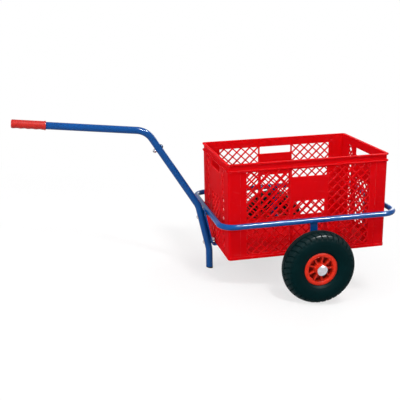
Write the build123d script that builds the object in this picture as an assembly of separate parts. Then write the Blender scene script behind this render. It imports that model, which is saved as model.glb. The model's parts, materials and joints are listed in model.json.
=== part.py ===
"""A two-wheeled hand cart: a lattice crate in a tube ring, on an axle with air tyres, with a bent drawbar.

Sizes are millimetres. The cart is drawn level, with X running rearwards from the middle of the crate, Y
across and Z up from the straps that the crate sits on. It is then parked, tipped onto its wheels and foot.
"""
import os
from math import asin, atan2, cos, degrees, hypot, radians, sin, sqrt, tan

from build123d import *

# Crate, measured over its brim
CRATE_LENGTH = 600.0
CRATE_WIDTH = 400.0
CRATE_HEIGHT = 350.0
CRATE_CORNER = 14.0
CRATE_WALL = 4.5
CRATE_FLOOR = 4.0
BRIM_OVERHANG = 5.5
BRIM_FLANGE = 4.5
BRIM_DEPTH = 28.0
BASE_LIP = 2.5
BASE_LIP_HEIGHT = 10.0
BASE_RIB = 3.0
BASE_RIB_HEIGHT = 4.0
BASE_RIBS_ALONG = 3
BASE_RIBS_ACROSS = 5
CORNER_POST = 42.0
CORNER_POST_PROUD = 1.2
SEAT_GAP = 0.3

# Lattice windows and hand holes in the crate's walls
LATTICE_PITCH = 34.0
LATTICE_BAR = 5.0
WINDOW_CORNER = 64.5
WINDOW_FOOT = 18.0
CENTRE_WINDOW = 118.0
LONG_DIVIDER = 6.0
SHORT_DIVIDER = 30.0
HAND_HOLE = 130.0
HAND_HOLE_HEIGHT = 29.0
HAND_HOLE_CORNER = 4.0
HAND_PANEL = 89.0

# Tube ring round the crate
RING_TUBE = 20.0
RING_WALL = 2.0
RING_BEND = 50.0
FRONT_GAP = 21.5
REAR_GAP = 13.0
SIDE_GAP = 22.0

# Flat straps that hang from the ring and carry the crate
STRAP = 5.0
STRAP_BEND = 8.5
STRAP_TOP = 5.0
LONG_STRAP_WIDTH = 30.0
CROSS_STRAP_WIDTH = 27.0

# Drawbar, its grip and its foot
BAR_TUBE = 26.0
BAR_WALL = 2.0
BAR_BEND = 72.0
HANDLE_RUN = 462.0
HANDLE_SLOPE = 6.6
SLANT_RUN = 345.5
SLANT_SLOPE = 58.2
STEEP_SLOPE = 77.7
STEEP_RISE = 23.4
FOOT_BEND_DROP = 20.0
FOOT_RUN = 71.0
GRIP_LENGTH = 116.0
GRIP_WALL = 2.2
GRIP_FIT = 0.05
GRIP_END = 4.0
GRIP_COLLAR_RIM = 1.2
GRIP_COLLAR_LENGTH = 5.0
GRIP_SCALLOPS = 4
GRIP_SCALLOP_RADIUS = 45.0
GRIP_SCALLOP_DEPTH = 1.2
SOLE = 5.0
SOLE_PLUG = 16.0
PLUG_FIT = 0.1

# Bolted joint of the drawbar's two tubes
BOLT_BELOW_BEND = 42.2
SEAM_BELOW_BOLT = 41.0
SPIGOT_ABOVE_BOLT = 24.0
SPIGOT_BELOW_SEAM = 65.0
SPIGOT_WALL = 2.5
SPIGOT_FIT = 0.1

# Bolts, nuts and washers of the drawbar
BOLT = 8.0
BOLT_FIT = 0.25
THREAD_FIT = 0.05
BOLT_HEAD_RIM = 4.0
BOLT_HEAD_HEIGHT = 5.4
BOLT_TIP = 2.5
NUT_WALL = 2.5
NUT_HEIGHT = 6.5
WASHER_RIM = 4.0
WASHER_THICKNESS = 1.6
TOP_BOLT_GAP = 2.0
LOW_BOLT_GAP = 2.4

# Axle and what holds it
AXLE = 20.0
AXLE_X = 10.0
AXLE_GAP = 3.5
AXLE_FIT = 0.05
LUG_WALL = 3.5
LUG_THICKNESS = 12.0
LUG_INSET = 3.0
SPACER_WALL = 3.0
AXLE_WASHER_RIM = 7.0
AXLE_WASHER_THICKNESS = 2.0
END_PLAY = 0.3
CAP_RIM = 9.0
CAP_EDGE = 1.5
CAP_DOME = 7.0
AXLE_IN_CAP = 6.0

# Tyres and their air tubes
TYRE_HEIGHT = 83.0
TYRE_WIDTH = 80.0
TYRE_TREAD = 9.5
TYRE_SIDEWALL = 5.5
TYRE_CLEARANCE = 17.5
TYRE_GAP = 7.5
SHOULDER_DROP = 8.5
CROWN_DROP = 2.0
TREAD_WIDTH = 60.0
TREAD_GROOVE = 4.0
TREAD_GROOVE_DEPTH = 3.0
TREAD_GROOVE_SPACING = 22.0
NOTCHES = 36
NOTCH = 6.0
NOTCH_DEPTH = 3.5
NOTCH_LENGTH = 24.0
NOTCH_TILT = 40.0
BEAD = 6.0
BEAD_FIT = 0.4
INNER_TUBE_FIT = 0.3
INNER_TUBE_WALL = 2.0

# Moulded two-part rims with their bushes, screws and valves
RIM_SEAT = 100.0
RIM_SEAT_WIDTH = 48.0
RIM_FLANGE = 10.8
RIM_FLARE = 7.0
RIM_WALL = 4.0
RIM_WEB = 5.0
RIM_DRAFT = 1.0
RIM_RIBS = 9
RIM_RIB = 3.6
RIM_RIB_DEPTH = 6.0
HUB_WALL = 9.5
HUB_LENGTH = 75.0
BUSH_WALL = 2.5
BUSH_LENGTH = 22.0
BUSH_FLANGE_RIM = 3.5
BUSH_FLANGE = 2.0
BUSH_FIT = 0.05
SCREW = 5.0
SCREWS = 3
SCREW_FIT = 0.1
SCREW_DEPTH = 8.0
SCREW_HEAD_RIM = 2.5
SCREW_HEAD_HEIGHT = 3.5
BOSS_WALL = 3.0
VALVE = 7.0
VALVE_FIT = 0.4
VALVE_BEND = 8.0
VALVE_INSET = 9.0
VALVE_ENTRY = 13.0
VALVE_END = 29.0
VALVE_CAP_WALL = 1.25
VALVE_CAP_GRIP = 6.0
VALVE_CAP_END = 3.0

UPRIGHT = (Align.CENTER, Align.CENTER, Align.MIN)
SIDE_VIEW = Plane(origin=(0, 0, 0), x_dir=(1, 0, 0), z_dir=(0, -1, 0))
END_VIEW = Plane(origin=(0, 0, 0), x_dir=(0, 1, 0), z_dir=(1, 0, 0))


def moved(point, slope, run):
    """The point reached from (x, z) by a run that falls away at a slope in degrees, towards the rear."""
    return point[0] + run * cos(radians(slope)), point[1] - run * sin(radians(slope))


def aside(point, slope, distance):
    """The point at a distance square to a run of this slope, on its upper and rear side."""
    return point[0] + distance * sin(radians(slope)), point[1] + distance * cos(radians(slope))


# Sizes of the crate's body and of the wheels
WALL_LENGTH = CRATE_LENGTH - 2 * BRIM_OVERHANG
WALL_WIDTH = CRATE_WIDTH - 2 * BRIM_OVERHANG
WALL_CORNER = max(CRATE_CORNER - BRIM_OVERHANG, 1.0)
LIP_LENGTH = WALL_LENGTH + 2 * BASE_LIP
LIP_WIDTH = WALL_WIDTH + 2 * BASE_LIP
WINDOW_TOP = CRATE_HEIGHT - BRIM_DEPTH - BRIM_FLANGE
TYRE_RADIUS = RIM_SEAT / 2 + TYRE_HEIGHT
CAVITY_WIDTH = TYRE_WIDTH / 2 - TYRE_SIDEWALL
CAVITY_HEIGHT = (TYRE_HEIGHT - TYRE_TREAD) / 2
CAVITY_CENTRE = RIM_SEAT / 2 + CAVITY_HEIGHT
RIM_INSIDE = RIM_SEAT / 2 - RIM_WALL
RIM_LIP = RIM_SEAT_WIDTH / 2 + RIM_FLARE
BUSH_RADIUS = AXLE / 2 + BUSH_WALL
HUB_RADIUS = BUSH_RADIUS + HUB_WALL
HUB_END = HUB_LENGTH / 2 + BUSH_FLANGE
SCREW_CIRCLE = (HUB_RADIUS + RIM_INSIDE) / 2
VALVE_CIRCLE = RIM_INSIDE - VALVE_INSET

# Places of the axle, the ring and the wheels
AXLE_Z = -(2 * STRAP + AXLE_GAP + AXLE / 2)
RING_HEIGHT = AXLE_Z + TYRE_RADIUS + TYRE_CLEARANCE + RING_TUBE / 2
RING_FRONT = -(LIP_LENGTH / 2 + FRONT_GAP + RING_TUBE / 2)
RING_REAR = LIP_LENGTH / 2 + REAR_GAP + STRAP + RING_TUBE / 2
RING_SIDE = LIP_WIDTH / 2 + SIDE_GAP + STRAP + RING_TUBE / 2
STRAP_FROM_RING = (RING_TUBE + STRAP) / 2
STRAP_SIDE = RING_SIDE - STRAP_FROM_RING
WHEEL_Y = STRAP_SIDE + STRAP / 2 + TYRE_GAP + TYRE_WIDTH / 2

# The long strap's leaning front lies against the outside of the ring, and the drawbar against the strap
BAR_FROM_STRAP = (BAR_TUBE + STRAP) / 2
STRAP_AT_RING = aside((RING_FRONT, RING_HEIGHT), STEEP_SLOPE, -STRAP_FROM_RING)
STRAP_LOW = moved(STRAP_AT_RING, STEEP_SLOPE, (STRAP_AT_RING[1] + STRAP / 2) / sin(radians(STEEP_SLOPE)))
BAR_AT_RING = aside(STRAP_AT_RING, STEEP_SLOPE, -BAR_FROM_STRAP)

# Corners of the drawbar's line, from the foot up to the end of the handle, and its joint
FOOT_BEND = moved(BAR_AT_RING, STEEP_SLOPE, (BAR_AT_RING[1] + FOOT_BEND_DROP) / sin(radians(STEEP_SLOPE)))
FOOT_END = (FOOT_BEND[0], FOOT_BEND[1] - FOOT_RUN)
STEEP_BEND = moved(BAR_AT_RING, STEEP_SLOPE, -STEEP_RISE)
TOP_BEND = moved(STEEP_BEND, SLANT_SLOPE, -SLANT_RUN)
HANDLE_END = moved(TOP_BEND, HANDLE_SLOPE, -HANDLE_RUN)
TOP_BEND_REACH = BAR_BEND * tan(radians(SLANT_SLOPE - HANDLE_SLOPE) / 2)
JOINT_BOLT = moved(TOP_BEND, SLANT_SLOPE, TOP_BEND_REACH + BOLT_BELOW_BEND)
SEAM = moved(JOINT_BOLT, SLANT_SLOPE, SEAM_BELOW_BOLT)

# The two bolts that clamp the drawbar, one under the ring and one over the strap's lower bend
NUT_RADIUS = (BOLT / 2 + NUT_WALL) * 2 / sqrt(3)
WASHER_RADIUS = BOLT / 2 + WASHER_RIM
TOP_BOLT_DROP = RING_TUBE / 2 + max(NUT_RADIUS, WASHER_RADIUS) + TOP_BOLT_GAP
LOW_BOLT_RISE = STRAP_BEND * tan(radians(STEEP_SLOPE) / 2) + WASHER_RADIUS + LOW_BOLT_GAP
TOP_BOLT = moved(BAR_AT_RING, STEEP_SLOPE, TOP_BOLT_DROP)
LOW_BOLT = aside(moved(STRAP_LOW, STEEP_SLOPE, -LOW_BOLT_RISE), STEEP_SLOPE, -BAR_FROM_STRAP)

# The floor is the line through the middle of the sole that touches the tyres from below
SOLE_TO_AXLE = (AXLE_X - FOOT_END[0], AXLE_Z - FOOT_END[1] + SOLE)
PARK_ANGLE = degrees(asin(TYRE_RADIUS / hypot(*SOLE_TO_AXLE)) - atan2(SOLE_TO_AXLE[1], SOLE_TO_AXLE[0]))


def at(point):
    """A point of the cart's middle plane, in space."""
    return point[0], 0, point[1]


def rod(radius, length):
    """A round bar standing on zero."""
    return Cylinder(radius, length, align=UPRIGHT)


def sleeve(outer, inner, length):
    """A round sleeve or washer standing on zero."""
    return extrude(Circle(outer) - Circle(inner), length)


def dome(radius, height):
    """A cap cut from a ball, with its flat side on zero."""
    ball = (radius**2 + height**2) / (2 * height)
    return Pos(0, 0, height - ball) * Sphere(ball) & rod(radius, height)


def round_box(length, width, corner, bottom, top):
    """An upright block with rounded corners, centred on the crate."""
    return Pos(0, 0, bottom) * extrude(RectangleRounded(length, width, corner), top - bottom)


def lattice(width, height, side=1):
    """The holes of a lattice window: diamonds between slanting bars, halved along the window's edges.

    The pattern starts with a quarter diamond in the upper corner on the side given, which is 1 or -1.
    """
    columns = max(round(2 * width / LATTICE_PITCH), 2)
    rows = max(round(2 * height / LATTICE_PITCH), 2)
    step_x = width / columns
    step_y = height / rows
    opening = 1 - LATTICE_BAR / 2 * hypot(step_x, step_y) / (step_x * step_y)
    corners = [(opening * step_x, 0), (0, opening * step_y), (-opening * step_x, 0), (0, -opening * step_y)]
    holes = []
    for i in range(columns + 1):
        for j in range(rows + 1):
            if (i + j) % 2:
                continue
            x = side * (width / 2 - i * step_x)
            y = height / 2 - j * step_y
            points = [(x + dx, y + dy) for dx, dy in corners]
            kept = [
                (px, py)
                for px, py in points
                if abs(px) < width / 2 + step_x / 9 and abs(py) < height / 2 + step_y / 9
            ]
            if len(kept) == 2:
                kept.append((x, y))
            holes.append(Polygon(*kept, align=None))
    return holes


def wall_openings(length, divider):
    """The windows and the hand hole of a wall of this length, as flat faces about the wall's middle line."""
    outer = length / 2 - WINDOW_CORNER
    inner = max(CENTRE_WINDOW, HAND_HOLE) / 2 + divider
    middle = (WINDOW_TOP + WINDOW_FOOT) / 2
    holes = []
    for side in (-1, 1):
        place = Pos(side * (outer + inner) / 2, middle)
        holes += [place * hole for hole in lattice(outer - inner, WINDOW_TOP - WINDOW_FOOT, side)]
    centre_top = WINDOW_TOP - HAND_HOLE_HEIGHT - HAND_PANEL
    centre = Pos(0, (centre_top + WINDOW_FOOT) / 2)
    holes += [centre * hole for hole in lattice(CENTRE_WINDOW, centre_top - WINDOW_FOOT)]
    hand_hole = RectangleRounded(HAND_HOLE, HAND_HOLE_HEIGHT, HAND_HOLE_CORNER)
    holes.append(Pos(0, WINDOW_TOP - HAND_HOLE_HEIGHT / 2) * hand_hole)
    return holes


def corner_posts():
    """The slightly raised corners of the crate's walls."""
    raised = 2 * CORNER_POST_PROUD
    posts = round_box(
        WALL_LENGTH + raised,
        WALL_WIDTH + raised,
        WALL_CORNER + CORNER_POST_PROUD,
        BASE_LIP_HEIGHT,
        CRATE_HEIGHT - BRIM_DEPTH,
    )
    between = Box(WALL_LENGTH - 2 * CORNER_POST, CRATE_WIDTH, CRATE_HEIGHT, align=UPRIGHT)
    between += Box(CRATE_LENGTH, WALL_WIDTH - 2 * CORNER_POST, CRATE_HEIGHT, align=UPRIGHT)
    return posts - between


def base_hollow(length, width, corner):
    """The space between the ribs under the crate's floor."""
    hollow = round_box(length, width, corner, 0, BASE_RIB_HEIGHT)
    for i in range(BASE_RIBS_ALONG):
        y = width * ((i + 1) / (BASE_RIBS_ALONG + 1) - 0.5)
        hollow -= Pos(0, y, 0) * Box(length, BASE_RIB, BASE_RIB_HEIGHT, align=UPRIGHT)
    for i in range(BASE_RIBS_ACROSS):
        x = length * ((i + 1) / (BASE_RIBS_ACROSS + 1) - 0.5)
        hollow -= Pos(x, 0, 0) * Box(BASE_RIB, width, BASE_RIB_HEIGHT, align=UPRIGHT)
    return hollow


def crate():
    """The moulded crate: walls with lattice windows, a double brim, corner posts and a ribbed base."""
    body = round_box(WALL_LENGTH, WALL_WIDTH, WALL_CORNER, 0, CRATE_HEIGHT)
    body += round_box(LIP_LENGTH, LIP_WIDTH, WALL_CORNER + BASE_LIP, 0, BASE_LIP_HEIGHT)
    for bottom in (CRATE_HEIGHT - BRIM_FLANGE, CRATE_HEIGHT - BRIM_DEPTH):
        body += round_box(CRATE_LENGTH, CRATE_WIDTH, CRATE_CORNER, bottom, bottom + BRIM_FLANGE)
    body += corner_posts()
    inside = (WALL_LENGTH - 2 * CRATE_WALL, WALL_WIDTH - 2 * CRATE_WALL, max(WALL_CORNER - CRATE_WALL, 1.0))
    body -= round_box(*inside, BASE_RIB_HEIGHT + CRATE_FLOOR, CRATE_HEIGHT)
    body -= base_hollow(*inside)
    long_holes = [SIDE_VIEW * hole for hole in wall_openings(WALL_LENGTH, LONG_DIVIDER)]
    short_holes = [END_VIEW * hole for hole in wall_openings(WALL_WIDTH, SHORT_DIVIDER)]
    body -= [extrude(hole, CRATE_WIDTH, both=True) for hole in long_holes]
    body -= [extrude(hole, CRATE_LENGTH, both=True) for hole in short_holes]
    return Pos(0, 0, SEAT_GAP) * body


def swept_tube(path, radius, wall):
    """A round tube along a path of straight runs and arcs."""
    section = Circle(radius) - Circle(radius - wall)
    return sweep(Plane(origin=path @ 0, z_dir=path % 0) * section, path=path)


def frame_ring():
    """The bent tube ring that goes round the crate, in two halves that meet at its sides."""
    halves = []
    for end in (RING_FRONT, RING_REAR):
        corners = [(0, RING_SIDE), (end, RING_SIDE), (end, -RING_SIDE), (0, -RING_SIDE)]
        path = FilletPolyline(*[(x, y, RING_HEIGHT) for x, y in corners], radius=RING_BEND)
        halves.append(swept_tube(path, RING_TUBE / 2, RING_WALL))
    return halves[0] + halves[1]


def bent_strap(points, width):
    """A flat bar bent along a line in the local XY plane, centred on that plane."""
    path = FilletPolyline(*points, radius=STRAP_BEND)
    return extrude(trace(path, line_width=STRAP), width / 2, both=True)


def square_to_bar(point, slope):
    """A plane at a point of the drawbar, facing square out of its upper and rear side."""
    return Plane(origin=at(point), x_dir=(0, 1, 0), z_dir=at(aside((0, 0), slope, 1)))


def bolt_holes(points, slope):
    """Rods for cutting the clearance holes of the drawbar's bolts."""
    return [square_to_bar(p, slope) * Cylinder(BOLT / 2 + BOLT_FIT, 2 * BAR_TUBE) for p in points]


def long_strap():
    """The strap along the cart: behind the drawbar, under the crate and up the rear to the ring."""
    top = moved(STRAP_AT_RING, STEEP_SLOPE, -STRAP_TOP)
    rear = RING_REAR - STRAP_FROM_RING
    points = [top, STRAP_LOW, (rear, -STRAP / 2), (rear, RING_HEIGHT + STRAP_TOP)]
    strap = SIDE_VIEW * bent_strap(points, LONG_STRAP_WIDTH)
    return strap - bolt_holes([TOP_BOLT, LOW_BOLT], STEEP_SLOPE)


def cross_strap():
    """The strap across the cart, under the long one, with its ends up inside the ring."""
    top = RING_HEIGHT + STRAP_TOP
    low = -1.5 * STRAP
    points = [(-STRAP_SIDE, top), (-STRAP_SIDE, low), (STRAP_SIDE, low), (STRAP_SIDE, top)]
    return END_VIEW * Pos(0, 0, AXLE_X) * bent_strap(points, CROSS_STRAP_WIDTH)


def drawbar_tube():
    """The lower tube of the drawbar: foot, steep run and most of the slant."""
    path = FilletPolyline(at(FOOT_END), at(FOOT_BEND), at(STEEP_BEND), at(SEAM), radius=BAR_BEND)
    return swept_tube(path, BAR_TUBE / 2, BAR_WALL) - bolt_holes([TOP_BOLT, LOW_BOLT], STEEP_SLOPE)


def handle_tube():
    """The upper tube of the drawbar: the top of the slant and the handle."""
    path = FilletPolyline(at(SEAM), at(TOP_BEND), at(HANDLE_END), radius=BAR_BEND)
    return swept_tube(path, BAR_TUBE / 2, BAR_WALL) - bolt_holes([JOINT_BOLT], SLANT_SLOPE)


def joint_spigot():
    """The inner sleeve that joins the drawbar's two tubes."""
    top = moved(JOINT_BOLT, SLANT_SLOPE, -SPIGOT_ABOVE_BOLT)
    low = moved(SEAM, SLANT_SLOPE, SPIGOT_BELOW_SEAM)
    inner = swept_tube(Line(at(top), at(low)), BAR_TUBE / 2 - BAR_WALL - SPIGOT_FIT, SPIGOT_WALL)
    return inner - bolt_holes([JOINT_BOLT], SLANT_SLOPE)


def dome_bolt(length):
    """A round-headed bolt along Z, with its head below zero."""
    head = Rot(180, 0, 0) * dome(BOLT / 2 + BOLT_HEAD_RIM, BOLT_HEAD_HEIGHT)
    return head + rod(BOLT / 2, length)


def hex_nut():
    """A hexagon nut standing on zero."""
    return extrude(RegularPolygon(NUT_RADIUS, 6) - Circle(BOLT / 2 + THREAD_FIT), NUT_HEIGHT)


def bolt_set(plane, thickness):
    """A bolt, its washer and its nut through this thickness of material, which is centred on the bar."""
    start = -BAR_TUBE / 2
    washer = sleeve(WASHER_RADIUS, BOLT / 2 + BOLT_FIT, WASHER_THICKNESS)
    grip = thickness + WASHER_THICKNESS
    return (
        plane * Pos(0, 0, start) * dome_bolt(grip + NUT_HEIGHT + BOLT_TIP),
        plane * Pos(0, 0, start + thickness) * washer,
        plane * Pos(0, 0, start + grip) * hex_nut(),
    )


def drawbar_fasteners():
    """The bolts that clamp the drawbar to the long strap, and the one through its joint, head uppermost."""
    clamps = [bolt_set(square_to_bar(p, STEEP_SLOPE), BAR_TUBE + STRAP) for p in (TOP_BOLT, LOW_BOLT)]
    joint = bolt_set(square_to_bar(JOINT_BOLT, SLANT_SLOPE) * Rot(180, 0, 0), BAR_TUBE)
    nodes = {}
    for i, piece in enumerate(("bolt", "washer", "nut")):
        nodes[f"drawbar_{piece}s"] = [clamp[i] for clamp in clamps]
        nodes[f"joint_{piece}"] = [joint[i]]
    return nodes


def handle_grip():
    """The moulded grip pushed over the end of the handle, with finger scallops along its underside."""
    radius = BAR_TUBE / 2 + GRIP_WALL
    collar = rod(radius + GRIP_COLLAR_RIM, GRIP_COLLAR_LENGTH)
    grip = fillet(collar.edges().filter_by(GeomType.CIRCLE), GRIP_COLLAR_RIM * 0.8)
    barrel = rod(radius, GRIP_LENGTH)
    grip += fillet(barrel.edges().filter_by(GeomType.CIRCLE).sort_by(Axis.Z)[-1], GRIP_END * 0.9)
    grip -= rod(BAR_TUBE / 2 + GRIP_FIT, GRIP_LENGTH - GRIP_END)
    spacing = (GRIP_LENGTH - GRIP_COLLAR_LENGTH - 2 * GRIP_END) / GRIP_SCALLOPS
    scallop = Rot(90, 0, 0) * Cylinder(GRIP_SCALLOP_RADIUS, 4 * radius)
    depth = radius - GRIP_SCALLOP_DEPTH + GRIP_SCALLOP_RADIUS
    start = GRIP_COLLAR_LENGTH + GRIP_END
    grip -= [Pos(depth, 0, start + (i + 0.5) * spacing) * scallop for i in range(GRIP_SCALLOPS)]
    origin = at(moved(HANDLE_END, HANDLE_SLOPE, GRIP_LENGTH - GRIP_END))
    outward = at(moved((0, 0), HANDLE_SLOPE, -1))
    downward = at(aside((0, 0), HANDLE_SLOPE, -1))
    return Plane(origin=origin, x_dir=downward, z_dir=outward) * grip


def foot_cap():
    """The plug in the end of the foot, with its sole cut to lie flat on the floor."""
    plug = rod(BAR_TUBE / 2 - BAR_WALL - PLUG_FIT, SOLE_PLUG)
    block = Rot(180, 0, 0) * rod(BAR_TUBE / 2, BAR_TUBE)
    reach = 4 * BAR_TUBE
    above_floor = Pos(0, 0, -SOLE) * Rot(0, PARK_ANGLE, 0) * Box(reach, reach, reach, align=UPRIGHT)
    return Pos(*at(FOOT_END)) * (plug + (block & above_floor))


def outward_plane(side, y=0.0):
    """A plane on the axle's line that faces out of the cart's left (-1) or right (1) side."""
    return Plane(origin=(AXLE_X, side * y, AXLE_Z), x_dir=(-side, 0, 0), z_dir=(0, side, 0))


def axle_lug(bore):
    """The plate under the cross strap that holds the axle."""
    radius = AXLE / 2 + LUG_WALL
    height = -AXLE_Z - 2 * STRAP
    profile = Circle(radius) + Pos(0, height / 2) * Rectangle(2 * radius, height) - Circle(bore)
    return extrude(profile, -LUG_THICKNESS)


def axle_cap(bore):
    """The domed cap pushed onto the axle's end."""
    radius = AXLE / 2 + CAP_RIM
    cap = rod(radius, CAP_EDGE) + Pos(0, 0, CAP_EDGE) * dome(radius, CAP_DOME)
    return cap - rod(bore, AXLE_IN_CAP + AXLE_FIT)


def axle_parts():
    """The axle and what carries and keeps it, for both sides."""
    bore = AXLE / 2 + AXLE_FIT
    hub_inner = WHEEL_Y - HUB_END - END_PLAY
    hub_outer = WHEEL_Y + HUB_END + END_PLAY
    cap_seat = hub_outer + AXLE_WASHER_THICKNESS
    lug_outer = STRAP_SIDE - STRAP_BEND - LUG_INSET
    spacer_end = hub_inner - AXLE_WASHER_THICKNESS
    lug = axle_lug(bore)
    cap = axle_cap(bore)
    washer = sleeve(AXLE / 2 + AXLE_WASHER_RIM, bore, AXLE_WASHER_THICKNESS)
    spacer = sleeve(AXLE / 2 + SPACER_WALL, bore, spacer_end - lug_outer)
    sides = [outward_plane(-1), outward_plane(1)]
    shaft = Cylinder(AXLE / 2, 2 * (cap_seat + AXLE_IN_CAP))
    return {
        "axle": [sides[1] * shaft],
        "axle_lugs": [side * Pos(0, 0, lug_outer) * lug for side in sides],
        "axle_spacers": [side * Pos(0, 0, lug_outer) * spacer for side in sides],
        "axle_washers": [side * Pos(0, 0, y) * washer for side in sides for y in (spacer_end, hub_outer)],
        "axle_caps": [side * Pos(0, 0, cap_seat) * cap for side in sides],
    }


def spun(edges):
    """The solid that a closed profile, drawn as radius and height, makes about the Z axis."""
    return revolve(Plane.XZ * make_face(edges), Axis.Z)


def tyre():
    """The tyre: beads, rounded sidewalls, a crowned tread with grooves and notched shoulders."""
    bead = RIM_SEAT / 2 + BEAD_FIT
    heel = RIM_SEAT_WIDTH / 2 - BEAD_FIT
    rim_edge = (RIM_SEAT / 2 + RIM_FLANGE, RIM_SEAT_WIDTH / 2 + RIM_WALL / 2)
    belly = ((TYRE_RADIUS + rim_edge[0]) / 2 - TYRE_SIDEWALL, TYRE_WIDTH / 2)
    shoulder = (TYRE_RADIUS - SHOULDER_DROP, TREAD_WIDTH / 2)
    turn_in = 180 - degrees(asin((heel - BEAD) / CAVITY_WIDTH))
    inside = EllipticalCenterArc((CAVITY_CENTRE, 0), CAVITY_HEIGHT, CAVITY_WIDTH, arc_size=turn_in)
    toe = (bead, heel - BEAD)
    half = make_face(
        [
            inside,
            Polyline(tuple(inside @ 1)[:2], toe, (bead, heel), rim_edge),
            TangentArc(belly, rim_edge, tangent=(-1, 0)),
            TangentArc(belly, shoulder, tangent=(1, 0)),
            ThreePointArc(shoulder, (TYRE_RADIUS - CROWN_DROP, TREAD_WIDTH / 4), (TYRE_RADIUS, 0)),
            Line((TYRE_RADIUS, 0), (CAVITY_CENTRE + CAVITY_HEIGHT, 0)),
        ]
    )
    body = revolve(Plane.XZ * (half + mirror(half, Plane.XZ)), Axis.Z)
    groove = sleeve(TYRE_RADIUS + TREAD_GROOVE, TYRE_RADIUS - TREAD_GROOVE_DEPTH, TREAD_GROOVE)
    notch = Box(2 * NOTCH_DEPTH, NOTCH, NOTCH_LENGTH)
    for side in (-1, 1):
        body -= Pos(0, 0, (side * TREAD_GROOVE_SPACING - TREAD_GROOVE) / 2) * groove
        seat = Pos(0, 0, side * shoulder[1]) * Rot(0, -side * NOTCH_TILT, 0)
        first = (side + 1) * 90 / NOTCHES
        body -= [place * seat * notch for place in PolarLocations(shoulder[0], NOTCHES, first)]
    return body


def inner_tube():
    """The hollow air tube inside the tyre."""
    rings = []
    for inset in (INNER_TUBE_FIT, INNER_TUBE_FIT + INNER_TUBE_WALL):
        section = Pos(CAVITY_CENTRE, 0) * Ellipse(CAVITY_HEIGHT - inset, CAVITY_WIDTH - inset)
        rings.append(revolve(Plane.XZ * section, Axis.Z))
    return rings[0] - rings[1]


def rim_half():
    """Half of the wheel's rim, on its joint face: seat, rounded flange, web, hub and ribs."""
    seat = RIM_SEAT / 2
    flange = (seat + RIM_FLANGE, RIM_SEAT_WIDTH / 2 + RIM_WALL)
    lip = (RIM_INSIDE, RIM_LIP - RIM_WALL / 2)
    body = spun(
        [
            Polyline((BUSH_RADIUS, 0), (seat, 0), (seat, RIM_SEAT_WIDTH / 2), flange),
            ThreePointArc(flange, (seat + RIM_FLANGE / 2, RIM_LIP), lip),
            Polyline(
                lip,
                (RIM_INSIDE - RIM_DRAFT, RIM_WEB),
                (HUB_RADIUS, RIM_WEB),
                (HUB_RADIUS - RIM_DRAFT, HUB_LENGTH / 2),
                (BUSH_RADIUS, HUB_LENGTH / 2),
                (BUSH_RADIUS, 0),
            ),
        ]
    )
    rib = Box(RIM_INSIDE - HUB_RADIUS + RIM_WALL, RIM_RIB, RIM_LIP - RIM_RIB_DEPTH, align=UPRIGHT)
    return body + [place * rib for place in PolarLocations((RIM_INSIDE + HUB_RADIUS) / 2, RIM_RIBS)]


def screw_places():
    """The places of the rim screws, each in the middle of a pocket between two ribs."""
    return PolarLocations(SCREW_CIRCLE, SCREWS, 180 / RIM_RIBS)


def in_valve_pocket(piece):
    """A piece turned into the pocket beside the first screw's, where the valve comes out."""
    return Rot(0, 0, 540 / RIM_RIBS) * piece


def rim_outer():
    """The outer half of the rim, with blind bosses for the screws."""
    boss = rod(SCREW / 2 + BOSS_WALL, SCREW_DEPTH + BOSS_WALL)
    hole = rod(SCREW / 2 + SCREW_FIT, SCREW_DEPTH + SCREW_FIT)
    half = rim_half() + [place * boss for place in screw_places()]
    return half - [place * hole for place in screw_places()]


def rim_inner():
    """The inner half of the rim, with holes for the screws and the valve."""
    half = mirror(rim_half(), Plane.XY)
    half -= [place * Cylinder(SCREW / 2 + SCREW_FIT, 4 * RIM_WEB) for place in screw_places()]
    hole = Rot(0, 90, 0) * Cylinder(VALVE / 2 + VALVE_FIT, 4 * RIM_WALL)
    return half - in_valve_pocket(Pos(RIM_SEAT / 2, 0, -VALVE_ENTRY) * hole)


def rim_screws():
    """The screws that hold the rim's halves together, with their heads on the inner side."""
    head = Rot(180, 0, 0) * rod(SCREW / 2 + SCREW_HEAD_RIM, SCREW_HEAD_HEIGHT)
    screw = Pos(0, 0, -RIM_WEB) * (head + rod(SCREW / 2, RIM_WEB + SCREW_DEPTH))
    return [place * screw for place in screw_places()]


def hub_bushes():
    """The flanged plain bearings at both ends of the hub."""
    bore = AXLE / 2 + BUSH_FIT
    bush = sleeve(BUSH_RADIUS - BUSH_FIT, bore, BUSH_LENGTH)
    bush += Pos(0, 0, BUSH_LENGTH) * sleeve(BUSH_RADIUS + BUSH_FLANGE_RIM, bore, BUSH_FLANGE)
    upper = Pos(0, 0, HUB_LENGTH / 2 - BUSH_LENGTH) * bush
    return [upper, mirror(upper, Plane.XY)]


def valve_stem():
    """The bent valve, from the air tube through the rim's seat and out towards the inner side."""
    half_width = CAVITY_WIDTH - INNER_TUBE_FIT
    half_height = CAVITY_HEIGHT - INNER_TUBE_FIT
    edge = VALVE_ENTRY - VALVE / 2
    tube = CAVITY_CENTRE - half_height * sqrt(1 - (edge / half_width) ** 2)
    points = [(tube - INNER_TUBE_FIT, -VALVE_ENTRY), (VALVE_CIRCLE, -VALVE_ENTRY), (VALVE_CIRCLE, -VALVE_END)]
    path = FilletPolyline(*[at(p) for p in points], radius=VALVE_BEND)
    return in_valve_pocket(sweep(Plane(origin=path @ 0, z_dir=path % 0) * Circle(VALVE / 2), path=path))


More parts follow.
